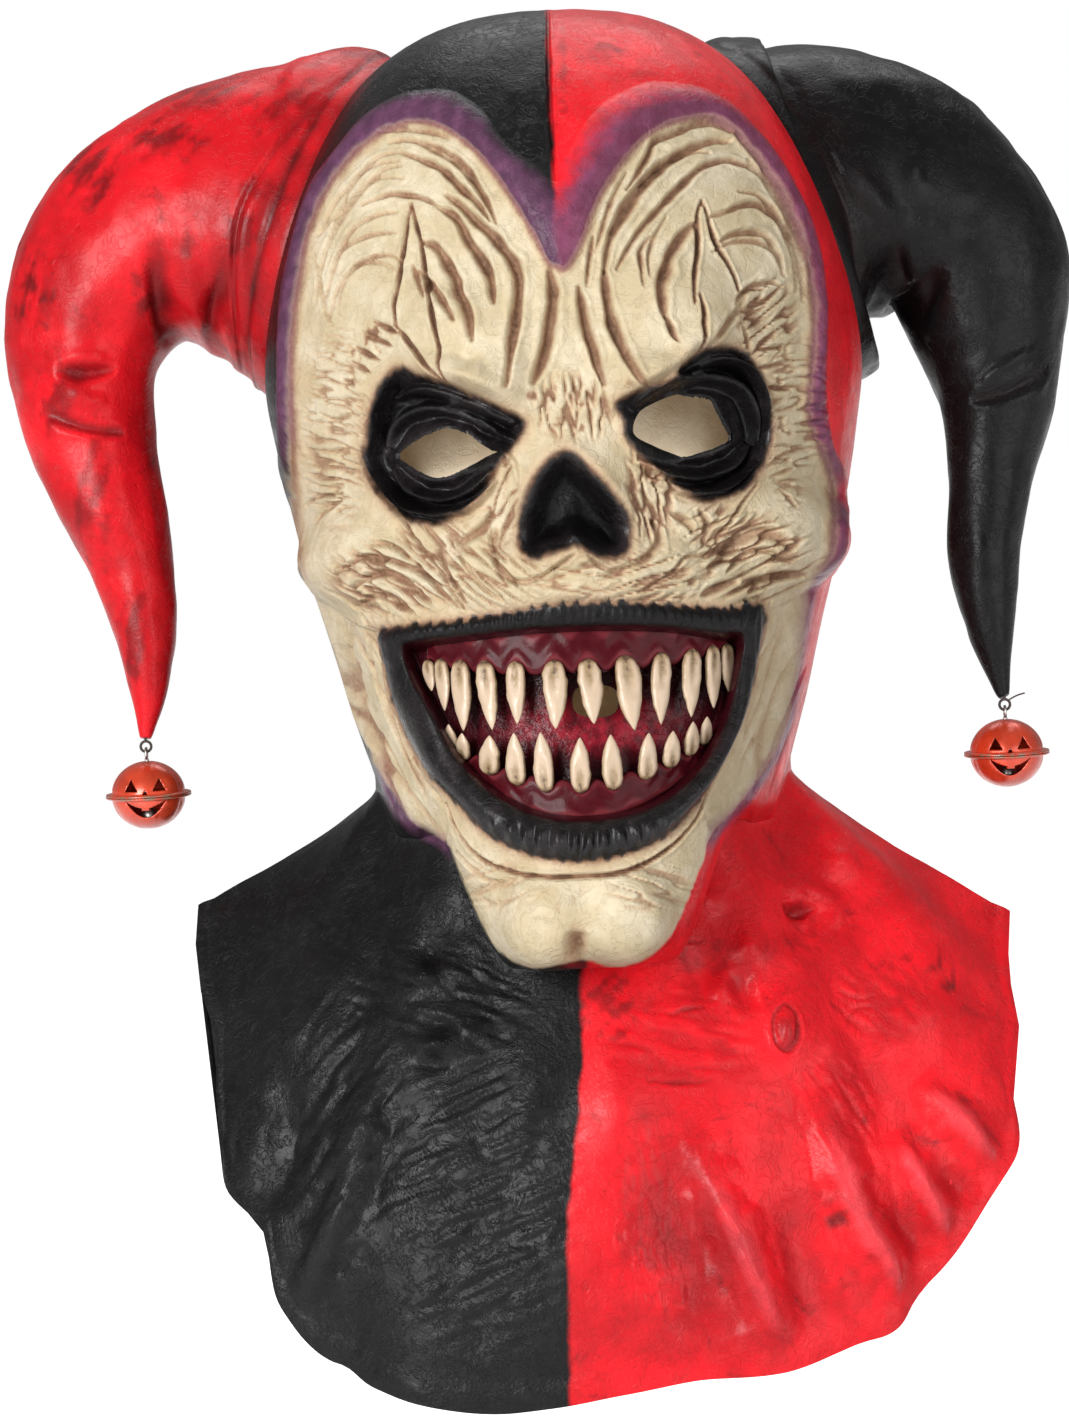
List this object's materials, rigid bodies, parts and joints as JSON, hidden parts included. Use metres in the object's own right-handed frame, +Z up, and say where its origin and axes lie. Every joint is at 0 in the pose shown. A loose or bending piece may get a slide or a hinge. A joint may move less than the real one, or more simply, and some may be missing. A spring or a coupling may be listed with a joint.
{
  "type": "full head clown mask",
  "caption": "Full-head latex jester clown mask with a skull-like grinning face, a bib over the shoulders, and drooping cap horns that each hang a pumpkin bell.",
  "frame": {"origin": "inside of the crown, where the top of the wearer's head stops", "axes": "+Z up towards the crown, the face looks along -Y, +X to the viewer's right"},
  "size_m": [0.3848, 0.2501, 0.4797],
  "materials": {
    "latex": "soft satin latex, painted",
    "red_latex": "satin painted latex with dark speckle",
    "black_latex": "satin painted latex",
    "gum": "glossy painted latex",
    "fang": "satin ivory",
    "thread": "dark thread",
    "pumpkin": "gloss enamel",
    "steel": "plain wire"
  },
  "bodies": {
    "mask": {"mask_shell": "latex", "horn_red": "red_latex", "horn_black": "black_latex", "gum_upper": "gum", "gum_lower": "gum", "tie_red": "thread", "tie_black": "thread", "fang_upper_01": "fang", "fang_upper_02": "fang", "fang_upper_03": "fang", "fang_upper_04": "fang", "fang_upper_05": "fang", "fang_upper_06": "fang", "fang_upper_07": "fang", "fang_upper_08": "fang", "fang_upper_09": "fang", "fang_upper_10": "fang", "fang_upper_11": "fang", "fang_upper_12": "fang", "fang_lower_01": "fang", "fang_lower_02": "fang", "fang_lower_03": "fang", "fang_lower_04": "fang", "fang_lower_05": "fang", "fang_lower_06": "fang", "fang_lower_07": "fang", "fang_lower_08": "fang", "fang_lower_09": "fang", "fang_lower_10": "fang", "fang_lower_11": "fang"},
    "bell_red": {"bell_red_cap": "pumpkin", "bell_red_cup": "pumpkin", "bell_red_shank": "steel", "bell_red_pellet": "steel"},
    "bell_black": {"bell_black_cap": "pumpkin", "bell_black_cup": "pumpkin", "bell_black_shank": "steel", "bell_black_pellet": "steel"}
  },
  "joints": [
    {"name": "bell_red_swing", "type": "hinge", "parent": "mask", "child": "bell_red", "pos_m": [-0.157, 0.002, -0.2531], "axis": [0, 1, 0], "range_deg": [-60, 60]},
    {"name": "bell_black_swing", "type": "hinge", "parent": "mask", "child": "bell_black", "pos_m": [0.153, 0.002, -0.2531], "axis": [0, 1, 0], "range_deg": [-60, 60]}
  ]
}
